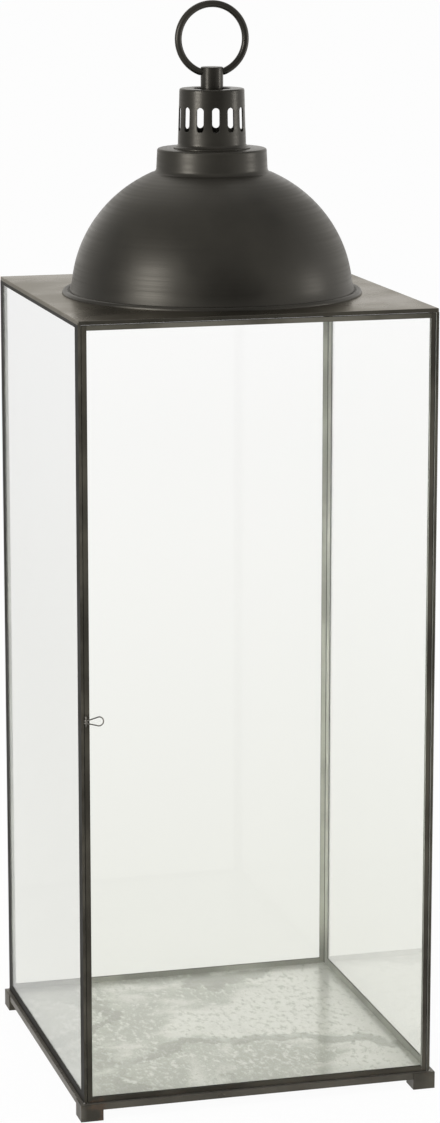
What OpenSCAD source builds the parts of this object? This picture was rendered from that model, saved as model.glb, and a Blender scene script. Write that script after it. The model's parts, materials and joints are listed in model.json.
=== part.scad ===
// Glazed floor lantern: a tall square case of soldered steel channels and glass on four cup feet,
// a hinged glass door with a wire pull, a spun dome with a slotted chimney and a carrying ring.
// +Z is up, the door faces -Y, and the origin is on the floor under the middle of the case.

/* [Case] */
// Width of the glazed case, over the posts
body_w = 330; // [260:1:400]
// Depth of the glazed case, over the posts
body_d = 330; // [260:1:400]
// Height of the glazed frames, from the base tray to the top plate's lip
frame_h = 711.5; // [400:0.5:900]
// Thickness of every glass pane
glass_t = 1.8; // [1.5:0.1:2.4]
// Play between a pane and each wall of its channel
glass_play = 0.05; // [0.02:0.01:0.1]
// Sheet thickness of the glazing channels
channel_wall = 0.35; // [0.3:0.05:0.6]
// Width of the four corner posts, seen from the side
post_w = 12.7; // [10:0.1:18]
// Height of the sill under each side pane
side_sill_h = 8; // [5:0.1:14]
// Height of the head rail over each side pane
side_head_h = 3.3; // [3:0.1:8]
// Width of the upright channels beside the back pane
back_stile_w = 4.8; // [4:0.1:10]
// Height of the sill under the back pane
back_sill_h = 6; // [4:0.1:12]
// Height of the head rail over the back pane
back_head_h = 3.3; // [3:0.1:8]

/* [Base] */
// Width of each square cup foot
foot_w = 21; // [16:0.5:30]
// Height of each cup foot
foot_h = 16; // [12:0.5:24]
// How far the feet stand out from the case
foot_out = 4; // [2.5:0.1:7]
// Sheet thickness of the feet
foot_wall = 0.8; // [0.6:0.1:1.4]
// Sheet thickness of the base tray
tray_t = 1; // [0.8:0.1:1.6]
// Height of the tray's folded skirt
skirt_h = 6; // [4:0.1:8]
// Thickness of the zinc floor sheet
floor_t = 0.8; // [0.5:0.1:1.2]

/* [Door] */
// Thickness of the door frame
door_t = 4.4; // [4.2:0.1:5]
// Width of the door's two upright channels
door_stile_w = 4.6; // [4.5:0.1:8]
// Height of the door's top and bottom channels
door_rail_h = 4.3; // [3.6:0.1:8]
// Thickness of the door channels' webs, outside the glass
door_web = 1.2; // [0.8:0.1:1.6]
// Gap between the door and the post at each side
door_side_gap = 0.5; // [0.4:0.05:1]
// Gap above and below the door
door_end_gap = 0.7; // [0.5:0.1:1.5]
// Radius of the door's pivot pins
pivot_r = 0.9; // [0.7:0.05:1]
// Distance from the door's edge to the middle of its pivots
pivot_inset = 2.5; // [2.3:0.1:2.6]
// Clearance between the post and the stile's turning edge
turn_gap = 0.2; // [0.1:0.05:0.3]
// Running clearance around a pivot pin
pivot_play = 0.05; // [0.02:0.01:0.09]
// Length of each pivot pin inside the door
pivot_depth = 9; // [6:0.5:20]
// Width of the strip that the door shuts against
stop_w = 3.5; // [2.5:0.1:4.2]
// Gap between the shut door and its stop
stop_gap = 0.3; // [0.2:0.05:0.5]
// Sheet thickness of the stop strip
stop_t = 0.8; // [0.5:0.1:1.2]
// Depth of the stop strip's leg along the post
stop_leg = 6; // [4:0.5:7]
// Length of the stop strip
stop_len = 600; // [200:10:640]

/* [Wire pull] */
// Height of the pull above the floor
pull_z = 374; // [150:1:500]
// Diameter of the pull's wire
pull_wire = 1.15; // [0.9:0.05:1.5]
// Diameter of the staple's wire
staple_wire = 1.3; // [1:0.05:1.6]
// Play between the pull's eyes and the staple
pull_play = 0.08; // [0.05:0.01:0.1]
// Height of the staple, over its legs
staple_h = 10.4; // [9:0.1:14]
// Reach of the pull from the staple to the middle of its round end
pull_reach = 11.6; // [9:0.1:18]
// Radius of the pull's round end, at the wire's centre
pull_round_r = 4.1; // [3.2:0.1:6]
// Distance between the two eyes of the pull
pull_eye_pitch = 2.2; // [1.8:0.1:3]
// Distance from the staple to the edge of its stile
staple_inset = 0.15; // [0.1:0.05:1]
// Gap between the pull's eyes and the stile's face
eye_gap = 0.2; // [0.1:0.05:0.5]
// Where an eye's open end lies, as an angle round the staple
eye_open = 20; // [10:1:40]
// Where the round end begins, as an angle from its tip
round_end_a = 120; // [100:1:140]

/* [Top plate] */
// Sheet thickness of the top plate
plate_t = 1; // [0.8:0.1:1.6]
// Height of the lip folded down around the plate
lip_h = 3.5; // [3:0.1:8]
// Width of the flange turned in under the lip
flange_w = 9; // [8:0.1:14]
// Sheet thickness of that flange
flange_t = 0.8; // [0.6:0.1:1]
// Outside radius of the fold along the plate's edges
fold_r = 1; // [0.5:0.1:1.5]
// Radius of the plate's four corners
corner_r = 1.5; // [1:0.1:2]
// Radius of the vent hole under the dome
vent_r = 95; // [50:1:115]

/* [Dome] */
// Radius of the dome where it meets the plate
dome_r = 129.5; // [118:0.5:135]
// Rise of the dome's curve
dome_rise = 121.5; // [100:0.5:150]
// How far the dome's foot flares out
flare_out = 3; // [1:0.1:4]
// Height over which the foot flares
flare_h = 14; // [8:0.5:20]
// Width of the rolled bead around the foot
bead_w = 6.7; // [5:0.1:8]
// Height of the rolled bead
bead_h = 3.4; // [2.5:0.1:5]
// Height of the crease between bead and dome
crease_h = 2.1; // [1.5:0.1:2.4]
// Sheet thickness of the dome
dome_t = 1.2; // [0.8:0.1:2]
// Radius of the collar on top of the dome
collar_r = 50.2; // [44:0.1:58]
// Height of the collar's top above the plate
collar_top = 132.2; // [125:0.1:170]
// How much wider the collar is at its foot than at its top
collar_draft = 0.8; // [0.2:0.1:2]
// Radius of the hollow fillet between dome and collar
collar_fillet = 5; // [3:0.1:7]
// Radius of the collar's rounded rim
collar_rim_r = 2; // [1.3:0.1:3]

/* [Chimney] */
// Outside radius of the chimney at its top
chimney_r = 29.7; // [26:0.1:33]
// Outside radius of the chimney just above its foot
chimney_foot_r = 31.2; // [29:0.1:34]
// Height of the chimney
chimney_h = 54.3; // [50:0.1:80]
// Sheet thickness of the chimney
chimney_t = 1.2; // [0.8:0.1:1.6]
// Radius of the chimney's spread foot
spread_r = 35.4; // [33:0.1:40]
// Chamfer on the spread foot's edge
spread_chamfer = 0.5; // [0.3:0.1:0.8]
// Radius of the hollow between the spread foot and the wall
spread_fillet = 3.6; // [2:0.1:5]
// Radius of the opening in the chimney's top
mouth_r = 17; // [14:0.1:21]
// Radius of the chimney's rounded top edge
chimney_rim_r = 1.6; // [1.3:0.1:2.4]
// Number of vent slots
slot_count = 13; // [8:1:15]
// Width of a vent slot
slot_w = 6.8; // [4:0.1:8]
// Height of a vent slot, over its round ends
slot_h = 22.5; // [14:0.5:26]
// Distance from the chimney's top to the slots
slot_drop = 16; // [14:0.5:20]
// Turn of the first slot away from the front
slot_phase = -8.2; // [-15:0.1:15]

/* [Stem and ring] */
// Radius of the stem
stem_r = 10.3; // [8.5:0.1:12]
// Height of the stem above the chimney
stem_rise = 19.3; // [17:0.1:26]
// Chamfer on the stem's top edge
stem_chamfer = 0.6; // [0.3:0.1:1]
// Solid height of stem left above the ring's hole
stem_cap = 1; // [0.8:0.1:3]
// Diameter of the ring's wire
ring_wire = 6.4; // [4:0.1:6.8]
// Radius of the ring at the wire's centre
ring_r = 31.6; // [28:0.1:38]
// Clearance around the ring's wire in the stem's hole
ring_play = 0.05; // [0.02:0.01:0.09]
// Distance from the stem's side to the ring's bend
ring_shoulder = 1.1; // [1:0.1:3]
// Width of the bridge that carries the stem
bridge_w = 14; // [12:0.5:20]
// Thickness of the bridge
bridge_t = 2; // [1.5:0.1:3]
// Distance from the chimney's top down to the bridge
bridge_drop = 6.5; // [5:0.5:7]
// Radius of the screw that holds the stem
screw_r = 3; // [2.5:0.1:4]
// Length of the screw inside the stem
screw_len = 12; // [8:0.5:12]
// Empty depth left past the screw's end
screw_spare = 0.5; // [0.3:0.1:1]
// Radius of the screw's head
screw_head_r = 5; // [4.5:0.1:6]
// Height of the screw's head
screw_head_h = 3.6; // [3:0.1:4]

/* [Hidden] */

$fn = 64;
steel_black = [0.20, 0.19, 0.18];
steel_worn = [0.30, 0.29, 0.27];
zinc_grey = [0.74, 0.76, 0.72];
glass_clear = [0.86, 0.92, 0.90, 0.30];
wire_bright = [0.62, 0.60, 0.56];

// A cutter reaches this far past the face that it opens
past = 1;
// A soldered piece inside a round wall stays this far off it
solder_gap = 0.1;
// Steps of a profile's long curve, of a small corner, and of the pull's eyes and round end
dome_steps = 36;
corner_steps = 6;
eye_steps = 12;
round_steps = 16;
// Sides of the pull's bent wire
wire_sides = 12;

half_w = body_w / 2;
half_d = body_d / 2;

// Levels, from the floor up
deck_z = foot_h;
head_z = deck_z + frame_h;
plate_z = head_z + lip_h;
collar_z = plate_z + collar_top;
chimney_z = collar_z + chimney_h;
stem_z = chimney_z + stem_rise;

// Glazing channels
channel_t = glass_t + 2 * (glass_play + channel_wall);
channel_web = 2 * channel_wall;
pocket_t = glass_t + 2 * glass_play;
post_x = half_w - channel_t;
side_rail_len = body_d - 2 * post_w;
back_rail_len = 2 * (post_x - back_stile_w);

// Base
tray_out = foot_out - foot_wall;
skirt_z = deck_z - skirt_h;

// Door
door_half_w = post_x - door_side_gap;
door_low = deck_z + door_end_gap;
door_h = frame_h - 2 * door_end_gap;
door_mid_y = -half_d + door_t / 2;
hinge_turn_r = pivot_inset + door_side_gap - turn_gap;
pivot_x = door_half_w - pivot_inset;
hinge_pocket = door_stile_w - pivot_inset - pivot_r - channel_wall;
rail_pocket = door_rail_h - door_web;
latch_pocket = door_stile_w - door_web;

// Wire pull
staple_x = -door_half_w + staple_wire / 2 + staple_inset;
eye_r = staple_wire / 2 + pull_play + pull_wire / 2;
staple_y = -half_d - eye_r - pull_wire / 2 - eye_gap;
pull_top = pull_eye_pitch / 2;

// Stem and ring
bridge_top = chimney_z - bridge_drop;
ring_hole_r = ring_wire / 2 + ring_play;
ring_pin_z = stem_z - stem_cap - ring_hole_r;
ring_chord = stem_r + ring_shoulder;
ring_rise = sqrt(ring_r * ring_r - ring_chord * ring_chord);
ring_turn = asin(ring_chord / ring_r);

// Points on an arc about c, from angle a to angle b
function arc(c, r, a, b, steps) = [
    for (i = [0:steps]) let (t = a + (b - a) * i / steps) c + r * [cos(t), sin(t)]
];

// Square outline with true round corners
module rounded_rect(w, d, r) {
    square([w - 2 * r, d], center = true);
    square([w, d - 2 * r], center = true);
    for (x = [-1, 1], y = [-1, 1])
        translate([x * (w / 2 - r), y * (d / 2 - r)]) circle(r);
}

// Straight cutter that rounds one long edge at the origin, running along X
module edge_cutter(len, r) {
    rotate([90, 0, 90]) linear_extrude(len, center = true)
        difference() {
            translate([-r, -r]) square(r + past);
            translate([-r, -r]) circle(r);
        }
}

// ---------------------------------------------------------------- base

// The solid that the folded tray fills, which the feet wrap
module tray_body() {
    side_w = body_w + 2 * tray_out;
    side_d = body_d + 2 * tray_out;
    difference() {
        translate([0, 0, skirt_z]) linear_extrude(skirt_h) square([side_w, side_d], center = true);
        translate([0, 0, skirt_z - past]) linear_extrude(skirt_h - tray_t + past)
            square([side_w - 2 * tray_t, side_d - 2 * tray_t], center = true);
    }
}

module foot(sx, sy) {
    cx = sx * (half_w + foot_out - foot_w / 2);
    cy = sy * (half_d + foot_out - foot_w / 2);
    color(steel_black) difference() {
        translate([cx, cy, 0]) linear_extrude(foot_h) square(foot_w, center = true);
        translate([cx, cy, foot_wall]) linear_extrude(foot_h)
            square(foot_w - 2 * foot_wall, center = true);
        tray_body();
        translate([0, 0, deck_z - tray_t]) linear_extrude(tray_t + past)
            square([body_w + 2 * tray_out, body_d + 2 * tray_out], center = true);
    }
}

module base_tray() {
    color(steel_black) difference() {
        tray_body();
        translate([pivot_x, door_mid_y, skirt_z - past])
            cylinder(h = skirt_h + 2 * past, r = pivot_r + pivot_play);
    }
}

module zinc_floor() {
    floor_w = 2 * post_x;
    floor_back = half_d - channel_t;
    floor_front = -half_d + door_t + stop_gap + stop_t;
    color(zinc_grey) translate([-floor_w / 2, floor_front, deck_z])
        cube([floor_w, floor_back - floor_front, floor_t]);
}

// ---------------------------------------------------------------- glazing channels

// U channel that stands up, web on the outer edge: face width w along X, depth along Y is channel_t
module upright_channel(w, h) {
    difference() {
        cube([w, channel_t, h]);
        translate([channel_web, channel_wall, -past]) cube([w, pocket_t, h + 2 * past]);
    }
}

// U channel that lies along X and opens upwards
module lying_channel(len, h) {
    difference() {
        cube([len, channel_t, h]);
        translate([-past, channel_wall, channel_web]) cube([len + 2 * past, pocket_t, h]);
    }
}

// Corner post: side +1 is right and -1 is left, end +1 is back and -1 is front
module post(side, end) {
    color(steel_black)
        mirrored(side, end) translate([half_w, half_d, deck_z]) rotate([0, 0, 180])
            post_section();
}

// Post drawn with its outer corner at the origin, its width along Y
module post_section() {
    difference() {
        cube([channel_t, post_w, frame_h]);
        translate([channel_wall, channel_web, -past]) cube([pocket_t, post_w, frame_h + 2 * past]);
    }
}

module mirrored(side, end) {
    mirror([side < 0 ? 1 : 0, 0, 0]) mirror([0, end < 0 ? 1 : 0, 0]) children();
}

// Sill or head of a side frame: it opens upwards, or downwards when flipped
module side_rail(side, h, flipped) {
    z = flipped ? head_z : deck_z;
    color(steel_black) translate([side * (half_w - channel_t / 2), 0, z])
        mirror([0, 0, flipped ? 1 : 0]) rotate([0, 0, 90])
            translate([-side_rail_len / 2, -channel_t / 2, 0]) lying_channel(side_rail_len, h);
}

module back_stile(side) {
    color(steel_black) mirrored(side, 1)
        translate([post_x, half_d, deck_z]) rotate([0, 0, 180])
            upright_channel(back_stile_w, frame_h);
}

module back_rail(h, flipped) {
    z = flipped ? head_z : deck_z;
    color(steel_black) translate([-back_rail_len / 2, half_d - channel_t, z])
        mirror([0, 0, flipped ? 1 : 0]) lying_channel(back_rail_len, h);
}

module side_glass(side) {
    low = deck_z + channel_web;
    high = head_z - channel_web;
    len = body_d - 2 * (channel_web + glass_play);
    color(glass_clear) translate([side * (half_w - channel_t / 2) - glass_t / 2, -len / 2, low])
        cube([glass_t, len, high - low]);
}

module back_glass() {
    low = deck_z + channel_web;
    high = head_z - channel_web;
    len = 2 * (post_x - channel_web - glass_play);
    color(glass_clear) translate([-len / 2, half_d - channel_t / 2 - glass_t / 2, low])
        cube([len, glass_t, high - low]);
}

// Folded strip inside the left front post, which the door's free stile shuts against
module door_stop() {
    y = -half_d + door_t + stop_gap;
    leg = min(post_w - door_t - stop_gap, stop_leg);
    color(steel_black) translate([-post_x, y, deck_z + frame_h / 2 - stop_len / 2]) {
        cube([stop_w, stop_t, stop_len]);
        cube([stop_t, leg, stop_len]);
    }
}

// ---------------------------------------------------------------- top plate

module top_plate() {
    color(steel_black) difference() {
        translate([0, 0, head_z]) linear_extrude(lip_h) rounded_rect(body_w, body_d, corner_r);
        translate([0, 0, head_z + flange_t]) linear_extrude(lip_h - flange_t - plate_t)
            square([body_w - 2 * plate_t, body_d - 2 * plate_t], center = true);
        translate([0, 0, head_z - past]) linear_extrude(flange_t + 2 * past)
            square([body_w - 2 * flange_w, body_d - 2 * flange_w], center = true);
        translate([0, 0, plate_z - plate_t - past]) cylinder(h = plate_t + 2 * past, r = vent_r, $fn = 128);
        translate([pivot_x, door_mid_y, head_z - past])
            cylinder(h = flange_t + 2 * past, r = pivot_r + pivot_play);
        for (s = [-1, 1]) {
            translate([0, s * half_d, plate_z]) mirror([0, s < 0 ? 1 : 0, 0])
                edge_cutter(body_w + 2 * past, fold_r);
            translate([s * half_w, 0, plate_z]) mirror([s < 0 ? 1 : 0, 0, 0]) rotate([0, 0, -90])
                edge_cutter(body_d + 2 * past, fold_r);
        }
    }
}

// ---------------------------------------------------------------- dome

// Outside radius of the dome at height h above the plate
function dome_radius(h) =
    dome_r * sqrt(max(0, 1 - pow(h / dome_rise, 2)))
    + (h < flare_h ? flare_out * pow(1 - h / flare_h, 2) : 0);

// Height at which the dome has radius r, above the flare
function dome_height(r) = dome_rise * sqrt(1 - pow(r / dome_r, 2));

module dome() {
    collar_foot_r = collar_r + collar_draft;
    fillet_top = collar_foot_r + collar_fillet;
    bead_r = dome_radius(crease_h) + bead_w;
    bead_mid = bead_r - bead_w / 2;
    join_h = dome_height(fillet_top);
    // The curve is drawn by angle, so that its steps are even
    start_a = asin(crease_h / dome_rise);
    end_a = asin(join_h / dome_rise);
    curve = [for (i = [0:dome_steps]) let (a = start_a + (end_a - start_a) * i / dome_steps, h = dome_rise * sin(a))
        [dome_radius(h), h]];
    inner = [for (i = [0:dome_steps]) let (a = end_a * (1 - i / dome_steps), h = (dome_rise - dome_t) * sin(a))
        [dome_radius(h) - dome_t, h]];
    // The bead is a half ellipse, cut off where it meets the dome's curve
    bead = [for (a = [0:18:162]) if (a < 90 || bead_h * sin(a) > crease_h)
        [bead_mid + bead_w / 2 * cos(a), bead_h * sin(a)]];
    slope = atan2(dome_height(fillet_top - 1) - join_h, 1);
    fillet = arc([fillet_top, join_h + collar_fillet], collar_fillet, 270 - slope, 180, corner_steps);
    rim = arc([collar_r - collar_rim_r, collar_top - collar_rim_r], collar_rim_r, 0, 90, corner_steps);
    neck_r = chimney_r - chimney_t;
    color(steel_black) translate([0, 0, plate_z]) rotate_extrude($fn = 128)
        polygon(concat(
            [[dome_radius(0) - dome_t, 0]],
            bead,
            curve,
            fillet,
            rim,
            [[neck_r, collar_top], [neck_r, collar_top - dome_t]],
            [[collar_r - collar_rim_r - dome_t, collar_top - dome_t]],
            [[collar_r - dome_t, collar_top - collar_rim_r - dome_t]],
            [[collar_foot_r - dome_t, join_h]],
            inner
        ));
}

// ---------------------------------------------------------------- chimney

module vent_slot() {
    straight = slot_h - slot_w;
    reach = chimney_foot_r + past;
    rotate([90, 0, 0]) {
        cylinder(h = reach, d = slot_w);
        translate([0, straight, 0]) cylinder(h = reach, d = slot_w);
        translate([-slot_w / 2, 0, 0]) cube([slot_w, straight, reach]);
    }
}

module chimney() {
    wall_foot = chimney_t + spread_fillet;
    hollow = arc([chimney_foot_r + spread_fillet, wall_foot], spread_fillet, 270, 180, corner_steps);
    rim = arc([chimney_r - chimney_rim_r, chimney_h - chimney_rim_r], chimney_rim_r, 0, 90, corner_steps);
    color(steel_black) translate([0, 0, collar_z]) difference() {
        rotate_extrude($fn = 96) polygon(concat(
            [[chimney_foot_r - chimney_t, 0], [spread_r, 0], [spread_r, chimney_t - spread_chamfer],
             [spread_r - spread_chamfer, chimney_t]],
            hollow,
            rim,
            [[mouth_r, chimney_h], [mouth_r, chimney_h - chimney_t]],
            [[chimney_r - chimney_t, chimney_h - chimney_t]]
        ));
        for (i = [0:slot_count - 1])
            rotate([0, 0, slot_phase + 360 * i / slot_count])
                translate([0, 0, chimney_h - slot_drop - slot_h + slot_w / 2]) vent_slot();
    }
}

// ---------------------------------------------------------------- stem and ring

// Strip under the chimney's mouth, soldered to the wall at both ends
module stem_bridge() {
    inner_r = chimney_r - chimney_t - solder_gap;
    color(steel_black) translate([0, 0, bridge_top - bridge_t]) difference() {
        intersection() {
            translate([-inner_r - past, -bridge_w / 2, 0])
                cube([2 * (inner_r + past), bridge_w, bridge_t]);
            translate([0, 0, -past]) cylinder(h = bridge_t + 2 * past, r = inner_r);
        }
        translate([0, 0, -past]) cylinder(h = bridge_t + 2 * past, r = screw_r + solder_gap);
    }
}

module stem_screw() {
    color(steel_worn) translate([0, 0, bridge_top - bridge_t]) {
        translate([0, 0, -screw_head_h]) cylinder(h = screw_head_h, r = screw_head_r, $fn = 6);
        cylinder(h = bridge_t + screw_len, r = screw_r);
    }
}

module stem() {
    h = stem_z - bridge_top;
    color(steel_black) difference() {
        translate([0, 0, bridge_top]) rotate_extrude() polygon([
            [0, 0], [stem_r, 0], [stem_r, h - stem_chamfer], [stem_r - stem_chamfer, h], [0, h]
        ]);
        translate([0, 0, bridge_top - past]) cylinder(h = past + screw_len + screw_spare, r = screw_r + solder_gap);
        translate([0, 0, ring_pin_z]) rotate([0, 90, 0])
            cylinder(h = 2 * (stem_r + past), r = ring_hole_r, center = true);
    }
}

// Closed ring: a round bow, and a short straight run through the stem
module ring() {
    wire_r = ring_wire / 2;
    color(steel_black) translate([0, 0, ring_pin_z]) {
        rotate([0, 90, 0]) cylinder(h = 2 * ring_chord, r = wire_r, center = true);
        for (s = [-1, 1]) translate([s * ring_chord, 0, 0]) sphere(wire_r);
        translate([0, 0, ring_rise]) rotate([90, 0, 0]) rotate([0, 0, ring_turn - 90])
            rotate_extrude(angle = 360 - 2 * ring_turn, $fn = 96)
                translate([ring_r, 0]) circle(wire_r);
    }
}

// ---------------------------------------------------------------- door

module door_latch_stile() {
    color(steel_black) translate([-door_half_w, -half_d, door_low]) difference() {
        cube([door_stile_w, door_t, door_h]);
        translate([door_stile_w - latch_pocket, (door_t - pocket_t) / 2, -past])
            cube([door_stile_w, pocket_t, door_h + 2 * past]);
    }
}

// The hinge stile's outer edge is rolled round the pivot, so that it turns clear of the post
module door_hinge_stile() {
    inner_x = door_half_w - door_stile_w;
    color(steel_black) difference() {
        translate([0, 0, door_low]) linear_extrude(door_h) intersection() {
            translate([inner_x, -half_d]) square([door_stile_w, door_t]);
            union() {
                translate([inner_x, -half_d]) square([pivot_x - inner_x, door_t]);
                translate([pivot_x, door_mid_y]) circle(hinge_turn_r);
            }
        }
        translate([inner_x - past, door_mid_y - pocket_t / 2, door_low - past])
            cube([hinge_pocket + past, pocket_t, door_h + 2 * past]);
        for (z = [door_low - past, door_low + door_h - pivot_depth])
            translate([pivot_x, door_mid_y, z]) cylinder(h = pivot_depth + past, r = pivot_r);
    }
}

module door_rail(flipped) {
    len = 2 * (door_half_w - door_stile_w);
    z = flipped ? door_low + door_h : door_low;
    color(steel_black) translate([-len / 2, -half_d, z]) mirror([0, 0, flipped ? 1 : 0])
        difference() {
            cube([len, door_t, door_rail_h]);
            translate([-past, (door_t - pocket_t) / 2, door_rail_h - rail_pocket])
                cube([len + 2 * past, pocket_t, door_rail_h]);
        }
}

module door_glass() {
    left = -door_half_w + door_stile_w - latch_pocket + glass_play;
    right = door_half_w - door_stile_w + hinge_pocket - glass_play;
    low = door_low + door_rail_h - rail_pocket;
    high = door_low + door_h - door_rail_h + rail_pocket - glass_play;
    color(glass_clear) translate([left, door_mid_y - glass_t / 2, low])
        cube([right - left, glass_t, high - low]);
}

// One pin turns in the tray's hole and one in the top flange's hole
module door_pivot_pins() {
    out_low = door_end_gap + tray_t;
    out_high = door_end_gap + flange_t;
    color(steel_worn) {
        translate([pivot_x, door_mid_y, door_low - out_low])
            cylinder(h = out_low + pivot_depth, r = pivot_r);
        translate([pivot_x, door_mid_y, door_low + door_h - pivot_depth])
            cylinder(h = out_high + pivot_depth, r = pivot_r);
    }
}

// ---------------------------------------------------------------- wire pull

// Upright wire on the free stile, with a leg back to the stile's face at each end
module pull_staple() {
    r = staple_wire / 2;
    leg = -half_d - staple_y;
    color(wire_bright) translate([staple_x, staple_y, pull_z]) {
        cylinder(h = staple_h - staple_wire, r = r, center = true, $fn = 32);
        for (s = [-1, 1]) translate([0, 0, s * (staple_h - staple_wire) / 2]) {
            sphere(r, $fn = 32);
            rotate([-90, 0, 0]) cylinder(h = leg, r = r, $fn = 32);
        }
    }
}

// Points of an open eye round the staple at height z, from its free end to the front
function eye_points(z) = [
    for (i = [0:eye_steps]) let (t = eye_open + (270 - eye_open) * i / eye_steps) [eye_r * cos(t), eye_r * sin(t), z]
];

// Points of the pull's round end, from the upper strand to the lower one
function round_end_points() = [
    for (i = [0:round_steps]) let (t = round_end_a * (1 - 2 * i / round_steps))
        [pull_reach + pull_round_r * cos(t), -eye_r, pull_round_r * sin(t)]
];

function backwards(list) = [for (i = [len(list) - 1:-1:0]) list[i]];
function unit(v) = v / norm(v);
// The part of v that is square to the unit vector t, at unit length
function square_to(v, t) = unit(v - (v * t) * t);

// Round wire of radius r bent along points, its sides carried on without a twist
module bent_wire(points, r, sides) {
    n = len(points);
    ways = [for (i = [0:n - 1]) unit(points[min(i + 1, n - 1)] - points[max(i - 1, 0)])];
    ups = [for (i = 0, u = square_to([0, 0, 1], ways[0]); i < n;
        i = i + 1, u = i < n ? square_to(u, ways[i]) : u) u];
    rings = [for (i = [0:n - 1], k = [0:sides - 1]) let (a = 360 * k / sides)
        points[i] + r * (cos(a) * ups[i] + sin(a) * cross(ways[i], ups[i]))];
    walls = [for (i = [0:n - 2], k = [0:sides - 1]) let (m = (k + 1) % sides, p = i * sides, q = p + sides)
        each [[p + k, q + m, p + m], [p + k, q + k, q + m]]];
    near_end = [for (k = [1:sides - 2]) [0, k, k + 1]];
    far_end = [for (k = [1:sides - 2]) let (p = (n - 1) * sides) [p, p + k + 1, p + k]];
    polyhedron(rings, concat(walls, near_end, far_end));
}

// Two open eyes round the staple, two strands that part, and a round end, bent from one wire
module pull_loop() {
    color(wire_bright) translate([staple_x, staple_y, pull_z])
        bent_wire(concat(eye_points(pull_top), round_end_points(), backwards(eye_points(-pull_top))),
            pull_wire / 2, wire_sides);
}

foot(-1, -1);  // foot_front_left
foot(1, -1);  // foot_front_right
foot(-1, 1);  // foot_back_left
foot(1, 1);  // foot_back_right
base_tray();
zinc_floor();
post(-1, -1);  // left_front_post
post(-1, 1);  // left_back_post
post(1, -1);  // right_front_post
post(1, 1);  // right_back_post
side_rail(-1, side_sill_h, false);  // left_sill
side_rail(-1, side_head_h, true);  // left_head
side_rail(1, side_sill_h, false);  // right_sill
side_rail(1, side_head_h, true);  // right_head
back_stile(-1);  // back_left_stile
back_stile(1);  // back_right_stile
back_rail(back_sill_h, false);  // back_sill
back_rail(back_head_h, true);  // back_head
side_glass(-1);  // left_glass
side_glass(1);  // right_glass
back_glass();
door_stop();
top_plate();
dome();
chimney();
stem_bridge();
stem_screw();
stem();
ring();
door_latch_stile();
door_hinge_stile();
door_rail(false);  // door_bottom_rail
door_rail(true);  // door_top_rail
door_glass();
door_pivot_pins();
pull_staple();
pull_loop();
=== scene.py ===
# %% [markdown]
# # A glazed floor lantern
# The lantern is a tall square case of folded steel channels and glass. It stands on four cup feet,
# a spun dome and a slotted chimney carry the heat away, and a ring lifts it. The frame that is
# loaded first is the measured construction, and every piece made here sits exactly on it.

# %% Load the frame
import json
import math

import bmesh
import bpy
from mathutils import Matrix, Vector


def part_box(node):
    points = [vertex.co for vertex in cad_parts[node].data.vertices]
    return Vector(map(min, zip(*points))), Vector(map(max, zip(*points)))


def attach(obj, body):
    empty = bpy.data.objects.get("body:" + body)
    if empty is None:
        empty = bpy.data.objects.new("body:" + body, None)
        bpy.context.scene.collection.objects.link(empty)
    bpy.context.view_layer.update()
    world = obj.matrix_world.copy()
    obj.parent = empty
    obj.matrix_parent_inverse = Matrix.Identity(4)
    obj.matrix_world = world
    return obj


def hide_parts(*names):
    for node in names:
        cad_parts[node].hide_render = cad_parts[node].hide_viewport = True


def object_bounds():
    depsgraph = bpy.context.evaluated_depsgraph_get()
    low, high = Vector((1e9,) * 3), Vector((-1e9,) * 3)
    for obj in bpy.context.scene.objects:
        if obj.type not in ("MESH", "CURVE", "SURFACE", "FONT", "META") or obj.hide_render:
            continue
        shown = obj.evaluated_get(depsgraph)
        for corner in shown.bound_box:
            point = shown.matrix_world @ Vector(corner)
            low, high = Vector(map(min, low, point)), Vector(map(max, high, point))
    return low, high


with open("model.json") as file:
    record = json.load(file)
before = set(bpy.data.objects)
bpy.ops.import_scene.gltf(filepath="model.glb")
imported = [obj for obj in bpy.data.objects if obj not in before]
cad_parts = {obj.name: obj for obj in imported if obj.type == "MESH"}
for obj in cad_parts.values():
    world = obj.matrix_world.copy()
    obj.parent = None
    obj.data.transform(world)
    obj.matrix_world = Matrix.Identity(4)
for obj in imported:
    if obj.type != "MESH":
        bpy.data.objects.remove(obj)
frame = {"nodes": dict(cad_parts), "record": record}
cad_low, cad_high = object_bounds()
MM = 0.001
print("frame", len(frame["nodes"]), "nodes, size", [round(v, 4) for v in cad_high - cad_low])

# %% [markdown]
# ## Measures that the frame gives
# Several pieces and finishes share a width or a level. Each is read from the frame's own boxes,
# so that it stays right when the construction moves it.

# %% Levels and widths
case_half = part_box("right_front_post")[1][0]
plate_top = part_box("top_plate")[1][2]
deck_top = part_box("base_tray")[1][2]
collar_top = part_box("dome")[1][2]
chimney_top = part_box("chimney")[1][2]
foot_out = cad_high[0]
print("deck", round(deck_top, 4), "plate", round(plate_top, 4), "collar", round(collar_top, 4))

# %% [markdown]
# ## The camera
# The photograph was taken from the left of the door, a little above the dome. The case's edges
# are nearly parallel in it, so the camera stands well back, with a lens of over 100 mm. Its place
# and its turn were fitted to those edges.

# %% Camera
CAMERA_PLACE = (-0.82296, -3.03997, 1.13358)
CAMERA_DOWN = 11.782  # degrees under level
CAMERA_TURN = 15.282  # degrees to the right of straight ahead
CAMERA_LENS = 109.97  # mm, on a sensor 36 mm wide
CAMERA_SENSOR = 36.0
camera_data = bpy.data.cameras.new("photo_camera")
camera_data.sensor_width = CAMERA_SENSOR
camera_data.lens = CAMERA_LENS
camera = bpy.data.objects.new("photo_camera", camera_data)
camera.location = CAMERA_PLACE
camera.rotation_euler = [math.radians(a) for a in (90 - CAMERA_DOWN, 0, -CAMERA_TURN)]
bpy.context.scene.collection.objects.link(camera)
bpy.context.scene.camera = camera
bpy.context.scene.view_settings.view_transform = "Standard"
print("camera at", CAMERA_PLACE, "with a lens of", CAMERA_LENS, "mm")

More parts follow.
